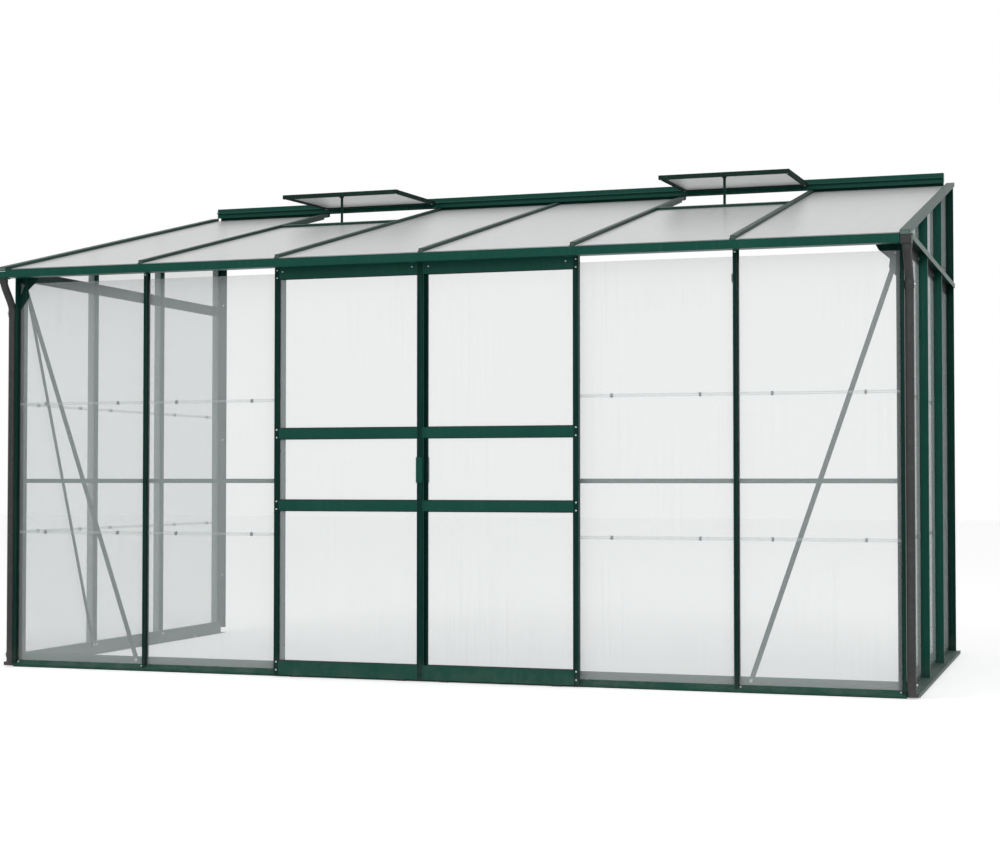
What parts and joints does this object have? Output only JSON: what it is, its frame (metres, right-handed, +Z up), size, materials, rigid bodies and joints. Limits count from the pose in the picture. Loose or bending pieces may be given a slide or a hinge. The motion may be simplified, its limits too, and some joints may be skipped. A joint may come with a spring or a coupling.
{
  "type": "greenhouse",
  "caption": "Lean-to glasshouse against a wall: slim coated bars, glazed front and gables, sheet roof with hinged vents, a pair of sliding doors, gutter and downpipes",
  "frame": {"origin": "Centre of the bounding box in plan, on the floor under the sills.", "axes": "+X to the right as seen from the front, +Y towards the house wall, +Z up."},
  "size_m": [3.81, 1.967, 2.1993],
  "materials": {
    "frame_green": "satin powder coat",
    "gutter_green": "satin powder coat",
    "roof_green": "satin powder coat, weathered",
    "door_green": "satin powder coat",
    "wall_glass": "clear float glass with a light haze",
    "roof_sheet": "milky twin-wall sheet",
    "pipe_plastic": "satin rainwater plastic",
    "black_plastic": "matt",
    "zinc": "zinc plated",
    "nylon": "satin nylon"
  },
  "bodies": {
    "frame": {"front_sill": "frame_green", "left_side_sill": "frame_green", "right_side_sill": "frame_green", "left_corner_post": "frame_green", "right_corner_post": "frame_green", "left_front_bar": "frame_green", "right_front_bar": "frame_green", "left_door_post": "frame_green", "right_door_post": "frame_green", "left_gable_bars": "frame_green", "right_gable_bars": "frame_green", "left_wall_post": "frame_green", "right_wall_post": "frame_green", "eave_gutter": "gutter_green", "door_track": "frame_green", "left_gable_rail": "frame_green", "right_gable_rail": "frame_green", "left_verge_bar": "roof_green", "right_verge_bar": "roof_green", "roof_bar_1": "roof_green", "roof_bar_2": "roof_green", "roof_bar_3": "roof_green", "roof_bar_4": "roof_green", "roof_bar_5": "roof_green", "ridge_bar": "roof_green", "left_gutter_outlet": "pipe_plastic", "right_gutter_outlet": "pipe_plastic", "left_downpipe": "pipe_plastic", "right_downpipe": "pipe_plastic", "pipe_clips": "pipe_plastic", "downpipe_shoes": "black_plastic", "waist_rails": "frame_green", "front_braces": "frame_green", "gable_braces": "frame_green", "corner_gussets": "frame_green", "front_glass": "wall_glass", "gable_glass": "wall_glass", "roof_panels": "roof_sheet", "vent_sills": "roof_green", "frame_bolts": "zinc"},
    "door_left": {"left_door_stiles": "door_green", "left_door_rails": "door_green", "left_door_glass": "wall_glass", "left_door_handle": "door_green", "left_door_guides": "nylon"},
    "door_right": {"right_door_stiles": "door_green", "right_door_rails": "door_green", "right_door_glass": "wall_glass", "right_door_handle": "door_green", "right_door_guides": "nylon"},
    "roller_left_1": {"left_door_roller_1": "nylon"},
    "roller_left_2": {"left_door_roller_2": "nylon"},
    "roller_right_1": {"right_door_roller_1": "nylon"},
    "roller_right_2": {"right_door_roller_2": "nylon"},
    "vent_left": {"left_vent_frame": "roof_green", "left_vent_pane": "roof_sheet"},
    "vent_right": {"right_vent_frame": "roof_green", "right_vent_pane": "roof_sheet"},
    "stay_left": {"left_vent_stay": "roof_green"},
    "stay_right": {"right_vent_stay": "roof_green"}
  },
  "joints": [
    {"name": "left_door_slide", "type": "slide", "parent": "frame", "child": "door_left", "axis": [-1, 0, 0], "range_m": [0, 0.6]},
    {"name": "left_roller_1_spin", "type": "hinge", "parent": "door_left", "child": "roller_left_1", "pos_m": [-0.0905, -0.8945, 1.6698], "axis": [0, -1, 0], "continuous": true},
    {"name": "left_roller_2_spin", "type": "hinge", "parent": "door_left", "child": "roller_left_2", "pos_m": [-0.548, -0.8945, 1.6698], "axis": [0, -1, 0], "continuous": true},
    {"name": "left_vent_hinge", "type": "hinge", "parent": "frame", "child": "vent_left", "pos_m": [-0.93, 0.9365, 2.17527], "axis": [-1, 0, 0], "range_deg": [-13, 26]},
    {"name": "left_stay_pivot", "type": "hinge", "parent": "vent_left", "child": "stay_left", "pos_m": [-0.93, 0.44811, 2.14921], "axis": [-1, 0, 0], "range_deg": [-30, 20]},
    {"name": "right_door_slide", "type": "slide", "parent": "frame", "child": "door_right", "axis": [1, 0, 0], "range_m": [0, 0.6]},
    {"name": "right_roller_1_spin", "type": "hinge", "parent": "door_right", "child": "roller_right_1", "pos_m": [0.0905, -0.8945, 1.6698], "axis": [0, 1, 0], "continuous": true},
    {"name": "right_roller_2_spin", "type": "hinge", "parent": "door_right", "child": "roller_right_2", "pos_m": [0.548, -0.8945, 1.6698], "axis": [0, 1, 0], "continuous": true},
    {"name": "right_vent_hinge", "type": "hinge", "parent": "frame", "child": "vent_right", "pos_m": [0.93, 0.9365, 2.17527], "axis": [-1, 0, 0], "range_deg": [-13, 26]},
    {"name": "right_stay_pivot", "type": "hinge", "parent": "vent_right", "child": "stay_right", "pos_m": [0.93, 0.44811, 2.14921], "axis": [-1, 0, 0], "range_deg": [-30, 20]}
  ],
  "couplings": [
    {"joint": "left_roller_1_spin", "follows": "left_door_slide", "rad_per_m": 105.26},
    {"joint": "left_roller_2_spin", "follows": "left_door_slide", "rad_per_m": 105.26},
    {"joint": "left_stay_pivot", "follows": "left_vent_hinge", "ratio": -1},
    {"joint": "right_roller_1_spin", "follows": "right_door_slide", "rad_per_m": 105.26},
    {"joint": "right_roller_2_spin", "follows": "right_door_slide", "rad_per_m": 105.26},
    {"joint": "right_stay_pivot", "follows": "right_vent_hinge", "ratio": -1}
  ]
}
